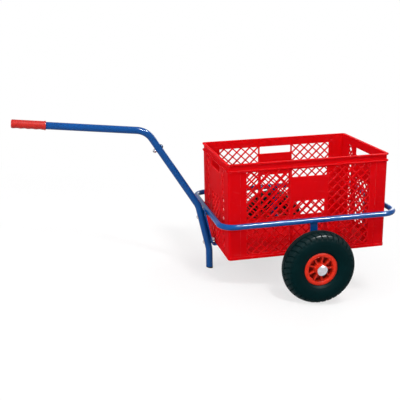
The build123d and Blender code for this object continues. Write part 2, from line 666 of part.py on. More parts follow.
def valve_cap():
    """The dust cap on the valve's end."""
    radius = VALVE / 2 + VALVE_CAP_WALL
    cap = rod(radius, VALVE_CAP_END + VALVE_CAP_GRIP)
    cap = fillet(cap.edges().filter_by(GeomType.CIRCLE).sort_by(Axis.Z)[0], VALVE_CAP_WALL)
    cap -= Pos(0, 0, VALVE_CAP_END) * rod(VALVE / 2 + THREAD_FIT, VALVE_CAP_GRIP)
    return in_valve_pocket(Pos(VALVE_CIRCLE, 0, -VALVE_END - VALVE_CAP_END) * cap)


def wheel_parts():
    """Every piece of one wheel, about the Z axis, with the cart's outer side upwards."""
    return {
        "tyre": [tyre()],
        "inner_tube": [inner_tube()],
        "rim_outer": [rim_outer()],
        "rim_inner": [rim_inner()],
        "rim_screws": rim_screws(),
        "hub_bushes": hub_bushes(),
        "valve_stem": [valve_stem()],
        "valve_cap": [valve_cap()],
    }


def level_cart():
    """Every node of the cart as a list of solids, standing level."""
    nodes = {
        "crate": [crate()],
        "frame_ring": [frame_ring()],
        "long_strap": [long_strap()],
        "cross_strap": [cross_strap()],
        "drawbar_tube": [drawbar_tube()],
        "handle_tube": [handle_tube()],
        "joint_spigot": [joint_spigot()],
        "handle_grip": [handle_grip()],
        "foot_cap": [foot_cap()],
        **drawbar_fasteners(),
        **axle_parts(),
    }
    wheel = wheel_parts()
    for name, side in (("left", -1), ("right", 1)):
        place = outward_plane(side, WHEEL_Y)
        for piece, solids in wheel.items():
            nodes[f"{piece}_{name}"] = [place * solid for solid in solids]
    return nodes


def parked(nodes):
    """The cart tipped onto its wheels and foot, with the floor at zero under the middle of its box."""
    tip = Rot(0, -PARK_ANGLE, 0)
    tipped = {name: [tip * solid for solid in solids] for name, solids in nodes.items()}
    boxes = [solid.bounding_box() for solids in tipped.values() for solid in solids]
    middle = (min(box.min.X for box in boxes) + max(box.max.X for box in boxes)) / 2
    floor = (tip * Pos(AXLE_X, 0, AXLE_Z)).position.Z - TYRE_RADIUS
    shift = Pos(-middle, 0, -floor)
    print(f"parked at {PARK_ANGLE:.6f} degrees, moved by {-middle:.6f} along X and {-floor:.6f} up")
    return {name: [shift * solid for solid in solids] for name, solids in tipped.items()}


if __name__ == "__main__":
    os.makedirs("parts", exist_ok=True)
    for node, shapes in parked(level_cart()).items():
        solids = [solid for shape in shapes for solid in shape.solids()]
        export_step(solids[0] if len(solids) == 1 else Compound(children=solids), f"parts/{node}.step")
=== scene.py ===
"""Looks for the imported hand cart: tread, grip and weld beads as surfaces, and a finish for all.

Lengths are metres. The cart is parked with its crate tipped. Pieces that follow the crate are
worked out in its level frame, which has its origin in the middle of the axle, X to the rear,
Y across and Z up the crate.
"""
import json
from math import cos, pi, radians, sin, tau

import bpy
import numpy as np
from bpy.props import FloatProperty, FloatVectorProperty, IntProperty, PointerProperty
from mathutils import Matrix, Vector


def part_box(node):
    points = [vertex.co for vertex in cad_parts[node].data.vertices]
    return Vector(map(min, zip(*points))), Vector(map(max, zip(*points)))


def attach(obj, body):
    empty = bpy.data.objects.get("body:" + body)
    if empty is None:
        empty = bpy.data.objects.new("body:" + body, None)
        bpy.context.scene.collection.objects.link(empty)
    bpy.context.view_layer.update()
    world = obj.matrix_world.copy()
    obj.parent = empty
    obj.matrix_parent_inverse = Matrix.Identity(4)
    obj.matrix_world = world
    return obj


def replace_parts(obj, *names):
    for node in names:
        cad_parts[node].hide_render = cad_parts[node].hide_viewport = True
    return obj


bl_info = {
    "name": "Hand cart looks",
    "version": (1, 0, 0),
    "blender": (4, 5, 0),
    "location": "View3D > Sidebar > Hand cart",
    "description": "Dresses the packed hand cart in plastic, painted steel, rubber and zinc",
    "category": "Object",
}

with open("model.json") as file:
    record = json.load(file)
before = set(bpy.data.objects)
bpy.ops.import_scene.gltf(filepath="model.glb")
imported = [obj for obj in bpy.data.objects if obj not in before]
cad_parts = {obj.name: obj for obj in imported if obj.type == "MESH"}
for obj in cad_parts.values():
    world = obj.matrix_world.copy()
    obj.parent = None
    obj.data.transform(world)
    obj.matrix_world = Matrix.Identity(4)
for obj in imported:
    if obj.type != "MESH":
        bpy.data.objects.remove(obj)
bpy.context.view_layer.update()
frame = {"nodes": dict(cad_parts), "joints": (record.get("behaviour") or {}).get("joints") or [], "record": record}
SLOT_OF = {row["node"]: row["material_slot"] for row in frame["record"]["subparts"]}
JOINTS = {joint["name"]: joint for joint in frame["joints"]}

# The level frame: its three directions as columns, and the middle of the axle
LIFT = JOINTS["crate_lift"]["axis"]
SPIN = JOINTS["wheel_left_spin"]["pos_m"]
LEVEL = np.array([[LIFT[2], 0, LIFT[0]], [0, 1, 0], [-LIFT[0], 0, LIFT[2]]])
AXLE = np.array([SPIN[0], 0, SPIN[2]])

# In the level frame: the rise of the handle, and of the long strap behind the drawbar
HANDLE_SLOPE = radians(6.6)
STRAP_SLOPE = radians(77.7)

# New faces that meet at a larger angle than this keep a sharp edge
SHARP_ANGLE = radians(38)

# The tyre's section: shares of the height from rim to crown, then twice of the half width, and
# how far the shoulder lies below the crown
BELLY_SHARE = 0.418
BEAD_SHARE = 0.65
SHOULDER_SHARE = 0.75
CROWN_DROP = 0.0085

# The tread's edges, as distances from the tyre's middle: the rib's, the ring groove's floor and
# its outer edge, and the start of the shoulder grooves
RIB_EDGE, FLOOR_FROM, FLOOR_TO, GROOVE_EDGE, BLOCK_EDGE = 0.0088, 0.0096, 0.0126, 0.0134, 0.0140

# Beyond this distance from the tyre's middle lies the sidewall
SIDEWALL = 0.02


def parked(points):
    """Points of the level frame, moved to where the cart is parked."""
    return AXLE + np.asarray(points) @ LEVEL.T


def node_points(node):
    """The points of a CAD node's mesh, in the level frame."""
    mesh = frame["nodes"][node].data
    points = np.zeros(3 * len(mesh.vertices), np.float32)
    mesh.vertices.foreach_get("co", points)
    return (points.reshape(-1, 3).astype(float) - AXLE) @ LEVEL


def linear(red, green, blue):
    """Linear light of a colour that is written in screen values from 0 to 255."""
    screen = np.array([red, green, blue]) / 255
    light = np.where(screen <= 0.04045, screen / 12.92, ((screen + 0.055) / 1.055) ** 2.4)
    return tuple(float(channel) for channel in light)


def colour(name, description, *screen):
    """A colour property whose default is written in screen values."""
    return FloatVectorProperty(
        name=name, description=description, default=linear(*screen), subtype="COLOR", min=0, max=1
    )


def length(name, description, default):
    """A length property in metres."""
    return FloatProperty(
        name=name, description=description, default=default, unit="LENGTH", precision=4
    )


def angle(name, description, degrees):
    """An angle property whose default is written in degrees."""
    return FloatProperty(
        name=name, description=description, default=radians(degrees), subtype="ANGLE"
    )


def amount(name, description, default, least=0):
    """A plain number property."""
    return FloatProperty(name=name, description=description, default=default, min=least)


def count(name, description, default, least):
    """A whole number property."""
    return IntProperty(name=name, description=description, default=default, min=least)


class CartColours(bpy.types.PropertyGroup):
    """Colours of the cart's materials."""

    crate: colour("Crate", "Moulded plastic of the crate", 209, 8, 17)
    coat: colour("Coat", "Powder coat of the tubes and straps", 2, 71, 138)
    grip: colour("Grip", "Soft plastic of the handle grip", 184, 30, 22)
    rim: colour("Rims", "Moulded plastic of the wheel rims", 214, 42, 20)
    rubber: colour("Tyres", "Rubber of the tyres", 2, 27, 29)
    dust: colour("Dust", "Dust that stays in the tread", 52, 58, 56)
    zinc: colour("Zinc", "Plating of the axle and the fasteners", 206, 204, 210)
    blackened: colour("Blackened steel", "The bolt that joins the drawbar's tubes", 44, 52, 66)
    nylon: colour("Bushes", "Nylon of the hub bushes", 226, 222, 210)
    black: colour("Black plastic", "Foot cap and valve caps", 22, 24, 28)
    brass: colour("Brass", "Valve stems", 190, 160, 90)


class CartSizes(bpy.types.PropertyGroup):
    """Sizes of the surfaces that are made here."""

    tread_blocks: count("Tread blocks", "Blocks round each shoulder", 36, least=12)
    tread_depth: length("Tread depth", "Depth of the grooves between the blocks", 0.0034)
    tread_slant: length("Tread slant", "Lead of a groove from the middle to the shoulder", 0.016)
    sidewall_ring: length("Sidewall ring", "Height of the raised rings on the sidewall", 0.0009)
    fingers: count("Finger hollows", "Hollows along the grip's underside", 4, least=1)
    finger_depth: length("Finger depth", "Depth of the hollows under the grip", 0.0013)
    bead_radius: length("Weld bead", "Radius of the weld beads", 0.0026)
    ripple_pitch: length("Weld ripple", "Distance from ripple to ripple along a bead", 0.0016)


class StageSettings(bpy.types.PropertyGroup):
    """Camera, lamps and floor."""

    camera_place: FloatVectorProperty(
        name="Camera",
        description="Where the camera stands, in the crate's level frame",
        default=(-0.879, -2.421, 0.9365),
        subtype="TRANSLATION",
    )
    camera_azimuth: angle("Camera azimuth", "How far it stands round to the cart's side", -12.0)
    camera_elevation: angle("Camera elevation", "How far it looks down on the crate's base", 16.6)
    camera_roll: angle("Camera roll", "How far the camera leans to its side", -1.28)
    lens: amount("Lens", "Focal length on a 36 mm sensor", 62.46, least=10)
    key_power: amount("Key lamp", "Watts of the lamp above the cart's front", 47)
    strip_power: amount("Strip lamp", "Watts of the lamp that only shows in highlights", 900)
    fill_power: amount("Fill lamp", "Watts of the lamp beside the camera", 165)
    back_power: amount("Back lamp", "Watts of the lamp behind the cart", 70)
    sky: amount("Sky", "Strength of the even light all round", 0.5)
    floor_colour: colour("Floor", "Pale studio floor", 248, 248, 248)
    bounce: amount("Bounce", "Share of light that the floor throws back", 0.42)


class Wire:
    """An output socket. Arithmetic on it adds the Math nodes that work it out."""

    def __init__(self, graph, socket):
        self.graph = graph
        self.socket = socket

    def math(self, operation, *values):
        return self.graph.node("ShaderNodeMath", {"operation": operation}, dict(enumerate(values)))

    def __add__(self, other):
        return self.math("ADD", self, other)

    def __sub__(self, other):
        return self.math("SUBTRACT", self, other)

    def __rsub__(self, other):
        return self.math("SUBTRACT", other, self)

    def __mul__(self, other):
        return self.math("MULTIPLY", self, other)

    def sine(self):
        return self.math("SINE", self)

    def unsigned(self):
        return self.math("ABSOLUTE", self)

    def or_more(self, other):
        """The greater of two numbers."""
        return self.math("MAXIMUM", self, other)

    def above(self, low, high):
        """0 below low and 1 above high, with a smooth step between them."""
        limits = {"Value": self, "From Min": low, "From Max": high}
        return self.graph.node("ShaderNodeMapRange", {"interpolation_type": "SMOOTHSTEP"}, limits)

    __radd__ = __add__
    __rmul__ = __mul__


class Graph:
    """A cleared node tree."""

    def __init__(self, tree):
        self.tree = tree
        self.tree.nodes.clear()

    def node(self, kind, settings=None, inputs=None, output=0):
        """A node of any kind with its settings and its values or links, as a Wire on one output."""
        made = self.tree.nodes.new(kind)
        for key, value in (settings or {}).items():
            setattr(made, key, value)
        for key, value in (inputs or {}).items():
            if isinstance(value, Wire):
                self.tree.links.new(value.socket, made.inputs[key])
            else:
                made.inputs[key].default_value = value
        return Wire(self, made.outputs[output]) if made.outputs else None

    def vector_math(self, operation, *values):
        """A number that is worked out from vectors."""
        inputs = dict(enumerate(values))
        return self.node("ShaderNodeVectorMath", {"operation": operation}, inputs, output="Value")

    def mix(self, share, first, second):
        """A colour between two others."""
        mixed = {0: share}
        for socket, value in ((6, first), (7, second)):
            mixed[socket] = value if isinstance(value, Wire) else (*value, 1)
        return self.node("ShaderNodeMix", {"data_type": "RGBA"}, mixed, output=2)

    def seen_directly(self):
        """1 for rays from the camera, a mirror or glass, and 0 for light that falls on things."""
        rays = ("Is Camera Ray", "Is Glossy Ray", "Is Transmission Ray")
        camera_ray, mirror, glass = (self.node("ShaderNodeLightPath", output=ray) for ray in rays)
        return camera_ray.or_more(mirror.or_more(glass))


class Finish(Graph):
    """A material with one Principled shader, fed from patterns in the piece's own coordinates."""

    def __init__(self, name, **constants):
        self.material = bpy.data.materials.new(name)
        self.material.use_nodes = True
        super().__init__(self.material.node_tree)
        self.shader = self.tree.nodes.new("ShaderNodeBsdfPrincipled")
        surface_wire = Wire(self, self.shader.outputs[0])
        self.node("ShaderNodeOutputMaterial", None, {"Surface": surface_wire})
        for key, value in constants.items():
            self.socket(key).default_value = value
        self.place = self.node("ShaderNodeTexCoord", output="Object")

    def socket(self, key):
        """A socket of the shader, by its name in small letters with underscores."""
        return self.shader.inputs[key.replace("_", " ").title().replace("Ior", "IOR")]

    def noise(self, spots, detail=2.0, stretch=(1, 1, 1)):
        """Soft random pattern with so many spots to the metre, stretched along the axes."""
        where = self.node("ShaderNodeMapping", None, {"Vector": self.place, "Scale": stretch})
        pattern = {"Vector": where, "Scale": spots, "Detail": detail}
        return self.node("ShaderNodeTexNoise", None, pattern)

    def across(self):
        """Distance from the plane through the cart's middle."""
        return self.node("ShaderNodeSeparateXYZ", None, {0: self.place}, output="Y").unsigned()

    def value(self, attribute):
        """A number that is kept on the piece's points."""
        return self.node("ShaderNodeAttribute", {"attribute_name": attribute}, output="Fac")

    def rounded(self, radius):
        """The surface's normal as it would be with rounded corners."""
        return self.node("ShaderNodeBevel", {"samples": 6}, {"Radius": radius})

    def corners(self, radius):
        """1 along the corners that would be rounded, in broken stretches, and 0 on flat places."""
        flat = self.node("ShaderNodeNewGeometry", output="Normal")
        agree = self.vector_math("DOT_PRODUCT", self.rounded(radius), flat)
        stretches = self.noise(spots=55, detail=4).above(0.38, 0.6)
        return (1 - agree).above(0.01, 0.12) * stretches

    def feed(self, **patterns):
        """Links patterns to the shader's sockets."""
        for key, wire in patterns.items():
            self.tree.links.new(wire.socket, self.socket(key))

    def relief(self, height, depth, edge=0.0):
        """Feeds a height pattern to the normal. Edge is the radius that rounds the corners."""
        bump = {"Height": height, "Distance": depth}
        if edge:
            bump["Normal"] = self.rounded(edge)
        self.feed(normal=self.node("ShaderNodeBump", None, bump))
        return self.material


def shade(tint, factor):
    """A colour made darker or paler by a factor."""
    return tuple(min(1.0, channel * factor) for channel in tint)


def powder_coat(tint):
    """Smooth paint on steel: orange peel, a little mottling, and rubbed spots and corners."""
    finish = Finish("powder_coat", specular_ior_level=0.16)
    mottle = finish.noise(spots=14, detail=3)
    rubbed = finish.noise(spots=60, detail=6).above(0.66, 0.74)
    pale_corners = finish.corners(radius=0.0008)
    body = finish.mix(mottle, shade(tint, 0.84), shade(tint, 1.16))
    finish.feed(
        base_color=finish.mix(rubbed * 0.12 + pale_corners * 0.3, body, shade(tint, 2.2)),
        roughness=0.06 + mottle * 0.05 + rubbed * 0.2 + pale_corners * 0.2,
    )
    peel = finish.noise(spots=420, detail=1)
    return finish.relief(peel, depth=0.00002, edge=0.0006)


def moulded_plastic(name, tint, roughness, shine=0.3, glow=0.0, web=None):
    """Moulded plastic: fine grain, faint flow marks along the mould's pull, rubbed places, and corners painted
    paler, partly as wear and partly as a painted sheen.

    Glow is the share of light that goes into the plastic and comes out again, as it does in thin
    walls. Web is how far a wheel's web lies from the cart's middle, if there is one: the pockets on
    both sides of it are darkened as painted shade.
    """
    finish = Finish(
        name,
        specular_ior_level=shine,
        subsurface_weight=glow,
        subsurface_radius=(1.0, 0.12, 0.12),
        subsurface_scale=0.006,
    )
    flow = finish.noise(spots=34, detail=3, stretch=(1, 1, 0.12))
    cloud = finish.noise(spots=7, detail=2)
    scuff = finish.noise(spots=48, detail=8, stretch=(0.35, 0.35, 1.6)).above(0.63, 0.7)
    # Corners painted paler: partly wear, partly a painted sheen along the edges.
    pale_corners = finish.corners(radius=0.0018)
    body = finish.mix(flow * 0.6 + cloud * 0.4, shade(tint, 0.88), shade(tint, 1.1))
    pale = tuple(0.8 * channel + 0.2 * max(tint) for channel in tint)
    face = finish.mix(scuff * 0.05 + pale_corners * 0.35, body, pale)
    if web:
        # Painted shade: the pockets beside the web are darkened towards a fifth of the tint.
        beside = (finish.across() - web).unsigned()
        painted_pocket_shade = 1 - beside.above(0.006, 0.016)
        face = finish.mix(painted_pocket_shade * (0.45 + cloud * 0.5), face, shade(tint, 0.2))
    finish.feed(
        base_color=face,
        roughness=roughness + flow * 0.1 + scuff * 0.14 + pale_corners * 0.1,
    )
    grain = finish.noise(spots=900, detail=2)
    return finish.relief(grain + flow * 0.8, depth=0.0001, edge=0.0009)


def grip_vinyl(tint):
    """Soft vinyl with a fine skin that is polished where hands rub it."""
    finish = Finish("grip_vinyl", specular_ior_level=0.25)
    polish = finish.noise(spots=26, detail=4).above(0.4, 0.62)
    finish.feed(
        base_color=finish.mix(polish, shade(tint, 0.97), shade(tint, 1.02)),
        roughness=0.34 - polish * 0.06,
    )
    skin = {"Vector": finish.place, "Scale": 620}
    pebble = finish.node("ShaderNodeTexVoronoi", {"feature": "SMOOTH_F1"}, skin)
    return finish.relief(pebble, depth=0.00003)


def tyre_rubber(tint, dust):
    """Dull rubber: fine scuffing, dust in the grooves, a bloom, and a sheen on the blocks."""
    finish = Finish("tyre_rubber", specular_ior_level=0.02, coat_roughness=0.28)
    bloom = finish.noise(spots=22, detail=5)
    settled = finish.value("groove") * bloom.above(0.35, 0.75)
    body = finish.mix(bloom, shade(tint, 0.7), shade(tint, 1.4))
    finish.feed(
        base_color=finish.mix(settled * 0.2, body, dust),
        roughness=0.44 + bloom * 0.16 + settled * 0.2,
        coat_weight=finish.value("crown") * 0.14,
    )
    serrations = 216
    turn = finish.node("ShaderNodeSeparateXYZ", None, {0: finish.node("ShaderNodeUVMap")})
    serration = (turn * (tau * serrations)).sine() * finish.value("serrated")
    scuffing = finish.noise(spots=700, detail=3)
    return finish.relief(scuffing * 0.5 + serration, depth=0.0003)


def tube_rubber(tint):
    """Thin rubber with talc left on it."""
    finish = Finish("tube_rubber", specular_ior_level=0.2)
    talc = finish.noise(spots=40, detail=5)
    finish.feed(
        base_color=finish.mix(talc, tint, shade(tint, 3)),
        roughness=0.6 + talc * 0.2,
    )
    return finish.relief(finish.noise(spots=500), depth=0.0001)


def plated_steel(name, tint, roughness):
    """Plated or blackened steel: fine rolling lines and clouds in the plating."""
    finish = Finish(name, metallic=1.0)
    cloud = finish.noise(spots=90, detail=4)
    lines = finish.noise(spots=160, detail=2, stretch=(1, 14, 1))
    finish.feed(
        base_color=finish.mix(cloud, shade(tint, 0.72), shade(tint, 1.08)),
        roughness=roughness + cloud * 0.16,
    )
    return finish.relief(lines, depth=0.00004, edge=0.0004)


def turned_brass(tint):
    """Brass with fine tool marks and dull spots."""
    finish = Finish("turned_brass", metallic=1.0)
    dull = finish.noise(spots=260, detail=4)
    finish.feed(
        base_color=finish.mix(dull, shade(tint, 0.6), tint),
        roughness=0.2 + dull * 0.25,
    )
    return finish.relief(finish.noise(spots=900), depth=0.00005)


def rows_of(*runs):
    """One array from runs of (first, last, count), each without its last value except the end."""
    parts = [np.linspace(first, last, steps, endpoint=False) for first, last, steps in runs]
    return np.concatenate([*parts, [runs[-1][1]]])


def full_turn(steps):
    """Angles in even steps once round."""
    return np.linspace(0, tau, steps, endpoint=False)


def surface(name, grids, along=False, **values):
    """A mesh of one or more patches on grids of points, shape (patches, rows, columns, 3).

    Each cell of a grid is a face. The columns lead round and close on themselves. The rows close
    too where along is asked, and otherwise a flat face ends each patch. Values are grids of
    numbers kept on the points. The UV map runs from 0 to 1 over the columns and the rows.
    """
    patches, rows, columns = grids.shape[:3]
    cells = rows if along else rows - 1
    patch, near, left = np.meshgrid(
        np.arange(patches), np.arange(cells), np.arange(columns), indexing="ij"
    )
    first, far, right = patch * rows, (near + 1) % rows, (left + 1) % columns
    corners = [(near, left), (near, right), (far, right), (far, left)]
    quads = np.stack([(first + row) * columns + column for row, column in corners], -1)
    quads = quads.reshape(-1, 4)
    points = grids.reshape(-1, 3)
    faces = quads.tolist()
    if not along:
        starts = np.arange(patches)[:, None] * rows * columns + np.arange(columns)
        faces += starts[:, ::-1].tolist() + (starts + (rows - 1) * columns).tolist()
    if volume(points, quads) < 0:
        faces = [face[::-1] for face in faces]
    mesh = bpy.data.meshes.new(name)
    mesh.from_pydata(points.tolist(), [], faces)
    for key, numbers in values.items():
        kept = mesh.attributes.new(key, "FLOAT", "POINT")
        kept.data.foreach_set("value", numbers.astype(np.float32).ravel())
    point = np.zeros(len(mesh.loops), np.int32)
    mesh.loops.foreach_get("vertex_index", point)
    places = np.stack([point % columns / columns, point // columns % rows / rows], -1)
    grid_map = mesh.uv_layers.new(name="grid")
    grid_map.data.foreach_set("uv", places.astype(np.float32).ravel())
    mesh.shade_smooth()
    mesh.set_sharp_from_angle(angle=SHARP_ANGLE)
    piece = bpy.data.objects.new(name, mesh)
    bpy.context.scene.collection.objects.link(piece)
    return piece


def volume(points, quads):
    """Six times the volume under the faces, which is negative where they look inwards."""
    a, b, c, d = (points[quads[:, k]] - points[0] for k in range(4))
    return np.sum(np.cross(a, b) * c) + np.sum(np.cross(a, c) * d)


def wear(piece, body, material):
    """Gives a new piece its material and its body."""
    piece.data.materials.append(material)
    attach(piece, body)


def dress(material, wanted):
    """Gives a material to every CAD node of a slot."""
    for node, slot in SLOT_OF.items():
        if slot == wanted:
            mesh = frame["nodes"][node].data
            mesh.materials.clear()
            mesh.materials.append(material)


def arc_radius(rise, bulge):
    """Radius of the arc that rises so far from its widest place while it draws in by the bulge."""
    return (rise**2 + bulge**2) / (2 * bulge)


def tyre_section(radius, half_width, rim):
    """One side of the tyre's outside, from bead to crown, as radius and distance from the middle.

    The lower sidewall is a circle's arc up to the belly, the upper sidewall a flatter one to the
    shoulder, and the crown a parabola over the tread. Rows lie closer where the blocks begin.
    """
    belly = rim + BELLY_SHARE * (radius - rim)
    bead, shoulder = BEAD_SHARE * half_width, SHOULDER_SHARE * half_width
    top = radius - CROWN_DROP
    low = arc_radius(belly - rim, half_width - bead)
    high = arc_radius(top - belly, half_width - shoulder)
    closer = top - 0.010
    below = rows_of((rim, belly, 16))
    above = rows_of((belly, closer, 10), (closer, top, 6))[1:]
    across = rows_of(
        (shoulder, BLOCK_EDGE, 7),
        (BLOCK_EDGE, GROOVE_EDGE, 1),
        (GROOVE_EDGE, FLOOR_TO, 1),
        (FLOOR_TO, FLOOR_FROM, 2),
        (FLOOR_FROM, RIB_EDGE, 1),
        (RIB_EDGE, 0.0, 5),
    )[1:]
    crown = radius - (radius - top) * (across / shoulder) ** 2
    height = np.concatenate([below, above, crown])
    side = np.concatenate([
        half_width - low + np.sqrt(low**2 - (belly - below) ** 2),
        half_width - high + np.sqrt(high**2 - (above - belly) ** 2),
        across,
    ])
    return height, side


def tread(height, side, radius):
    """Depth of the tread, from 0 to 1, at the section's points and a pitch's columns, with those.

    A pitch is one block and one slanting groove. The shoulder grooves run from the ring groove to
    the top of the sidewall, where they fade out, the ring groove runs all round, and the middle
    rib has a narrow slit in each pitch.
    """
    columns = np.array([0.0, 0.035, 0.13, 0.225, 0.26, 0.42, 0.55, 0.575, 0.6, 0.625, 0.82])
    lateral = np.array([0, 1, 1, 1, 0, 0, 0, 0, 0, 0, 0])
    slit = np.array([0, 0, 0, 0, 0, 0, 0, 1, 1, 0, 0])
    groove_foot, fade = radius - 0.0225, 0.006
    slit_reach, slit_depth = 0.0070, 0.7
    far = np.abs(side)
    walls = ((RIB_EDGE, FLOOR_FROM), (FLOOR_TO, GROOVE_EDGE), (GROOVE_EDGE, BLOCK_EDGE))
    past_rib, past_floor, past_groove = (far > (first + last) / 2 for first, last in walls)
    ring = (past_rib & ~past_floor).astype(float)
    shoulder = past_groove * np.clip((height - groove_foot) / fade, 0, 1)
    middle = (far < slit_reach) * slit_depth
    depth = np.maximum(ring[:, None], shoulder[:, None] * lateral + middle[:, None] * slit)
    return depth, columns


def bell(values, middle, spread):
    """A smooth bump of height 1 about a middle."""
    return np.exp(-(((values - middle) / spread) ** 2))


def tyre(name, node, rim_node, sizes):
    """An air tyre: its section turned about the axle, the tread sunk along the section's normal.

    Columns lead round the tyre and lean with the distance from the middle, so that the grooves
    run slanting, and the blocks of one side lie half a pitch from the other's. Bell curves raise
    the rings on the sidewall. The hidden side closes the section.
    """
    low, high = (np.array(corner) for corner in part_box(node))
    centre = (low + high) / 2
    radius, half_width = (high[2] - low[2]) / 2, (high[1] - low[1]) / 2
    rim_low, rim_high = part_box(rim_node)
    rim = (rim_high.z - rim_low.z) / 2
    height, side = tyre_section(radius, half_width, rim)
    height = np.concatenate([height, height[-2::-1]])
    side = np.concatenate([side, -side[-2::-1]])
    tangent = np.gradient(np.stack([height, side], -1), axis=0)
    normal = np.stack([-tangent[:, 1], tangent[:, 0]], -1)
    normal /= np.linalg.norm(normal, axis=1, keepdims=True)
    ring_places, ring_breadth = (rim + 0.006, rim + 0.0095, radius - 0.027), 0.0011
    rings = sum(bell(height, place, ring_breadth) for place in ring_places)
    raised = rings * sizes.sidewall_ring * (np.abs(side) > SIDEWALL)
    depth, columns = tread(height, side, radius)
    blocks = sizes.tread_blocks
    sunk = np.tile(depth, blocks)
    push = raised[:, None] - sizes.tread_depth * sunk
    out = height[:, None] + push * normal[:, :1]
    over = side[:, None] + push * normal[:, 1:]
    slant_run, slant_end, offset_run = 0.03, 0.032, 0.018
    lead = sizes.tread_slant * np.minimum(np.abs(side), slant_end) / slant_run / radius
    lead = lead + pi / blocks * np.clip(0.5 + side / offset_run, 0, 1)
    turn = (np.arange(blocks)[:, None] + columns).ravel() * tau / blocks + lead[:, None]
    inside_out, inside_over = cavity(radius, half_width, rim)
    rows = np.linspace(0, 1, len(inside_out))[:, None]
    inside_turn = turn[-1:] + (turn[:1] - turn[-1:]) * rows
    level = 0 * inside_turn
    turn = np.concatenate([turn, inside_turn])
    out = np.concatenate([out, inside_out + level])
    over = np.concatenate([over, inside_over + level])
    sunk = np.concatenate([sunk, level])
    serrated = bell(out, radius - 0.0195, 0.004) * (np.abs(over) > SIDEWALL)
    crown = (1 - sunk) * (out > radius - 0.016)
    grid = centre + np.stack([out * np.sin(turn), over, out * np.cos(turn)], -1)
    piece = surface(name, grid[None], along=True, groove=sunk, serrated=serrated, crown=crown)
    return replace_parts(piece, node)


def cavity(radius, half_width, rim):
    """The tyre's hidden side from bead to bead, as radius and distance from the middle.

    It is an ellipse that leaves the tread and the walls their thickness.
    """
    tread_wall, side_wall = 0.0095, 0.006
    turn = np.linspace(-0.8 * pi, 0.8 * pi, 15)[:, None]
    middle = (rim + radius) / 2 - 0.003
    out = middle + (radius - middle - tread_wall) * np.cos(turn)
    return out, (half_width - side_wall) * np.sin(turn)


def handle_grip(sizes):
    """The grip: a circle carried along the handle, with the radius of collar, barrel and round end.

    Under the barrel a row of cosine waves is taken off the radius, fading out with the square of
    the cosine round the side, and these are the hollows for the fingers.
    """
    out = np.array([-cos(HANDLE_SLOPE), 0, sin(HANDLE_SLOPE)])
    down = np.array([-sin(HANDLE_SLOPE), 0, -cos(HANDLE_SLOPE)])
    beside = np.array([0, 1, 0])
    tube = node_points("handle_tube")
    reach = tube @ out
    end = tube[reach > reach.max() - 0.0005]
    centre = (end.min(0) + end.max(0)) / 2
    grip = node_points("handle_grip") - centre
    start, stop = (grip @ out).min(), (grip @ out).max()
    collar = np.linalg.norm(np.cross(grip, out), axis=1).max()
    step, round_end, barrel_rows = 0.0012, 0.0046, 72
    barrel = collar - step
    bow = np.linspace(0, pi / 2, 9)[1:]
    place = np.concatenate([
        start + np.array([0, 0.0003, 0.0012, 0.0040, 0.0047, 0.0052, 0.0058]),
        np.linspace(start + 0.0066, stop - round_end, barrel_rows),
        stop - round_end * (1 - np.sin(bow)),
    ])
    radius = np.concatenate([
        collar - np.array([0.0014, 0.0005, 0, 0, 0.0003, 0.0009, step]),
        np.full(barrel_rows, barrel),
        barrel - round_end * (1 - np.cos(bow)),
    ])
    turn = full_turn(64)
    first, last = start + 0.0085, stop - 0.0075
    share = np.clip((place - first) / (last - first), 0, 1)
    hollow = 0.5 - 0.5 * np.cos(tau * sizes.fingers * share)
    under = np.maximum(np.cos(turn), 0) ** 2
    size = radius[:, None] - sizes.finger_depth * hollow[:, None] * under
    round_it = np.cos(turn)[:, None] * down + np.sin(turn)[:, None] * beside
    grid = centre + place[:, None, None] * out + size[..., None] * round_it
    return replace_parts(surface("finger_grip", parked(grid)[None]), "handle_grip")


def weld_lines():
    """The ends of every weld bead in the level frame, read from the steel pieces that meet there.

    Proud is how far a bead's middle stands off the steel, and sunk how far it lies in it.
    """
    nodes = ("frame_ring", "cross_strap", "long_strap", "axle_lugs")
    ring, cross, along, lugs = (node_points(node) for node in nodes)
    inset, proud, sunk, beside = 0.002, 0.0007, 0.0006, 0.0015
    ring_low, ring_high = ring[:, 2].min(), ring[:, 2].max()
    height, tube = (ring_low + ring_high) / 2, (ring_high - ring_low) / 2
    grip = cross[:, 2].max() - height - 0.0004
    x_low, x_high = cross[:, 0].min() + inset, cross[:, 0].max() - inset
    y_high = along[:, 1].max() - inset
    inside, rear = cross[:, 1].max() + proud, along[:, 0].max() + proud
    seat = along[:, 2].min() - sunk
    lug_top, lug_side = lugs[:, 2].max() - sunk, np.abs(lugs[:, 1]).min()
    front = np.array([ring[:, 0].min() + tube, height])
    up = np.array([-cos(STRAP_SLOPE), sin(STRAP_SLOPE)])
    lean = np.array([-sin(STRAP_SLOPE), -cos(STRAP_SLOPE)])
    lines = []
    for step in (-grip, grip):
        z = height + step
        lines += [((x_low, y, z), (x_high, y, z)) for y in (-inside, inside)]
        lines.append(((rear, -y_high, z), (rear, y_high, z)))
        x, z = front + lean * (tube - proud) + up * step
        lines.append(((x, -y_high, z), (x, y_high, z)))
    for x in (x_low - beside, x_high + beside):
        lines.append(((x, -y_high, seat), (x, y_high, seat)))
    for y in (-lug_side, lug_side):
        lines.append(((x_low, y, lug_top), (x_high, y, lug_top)))
    return np.array(lines)


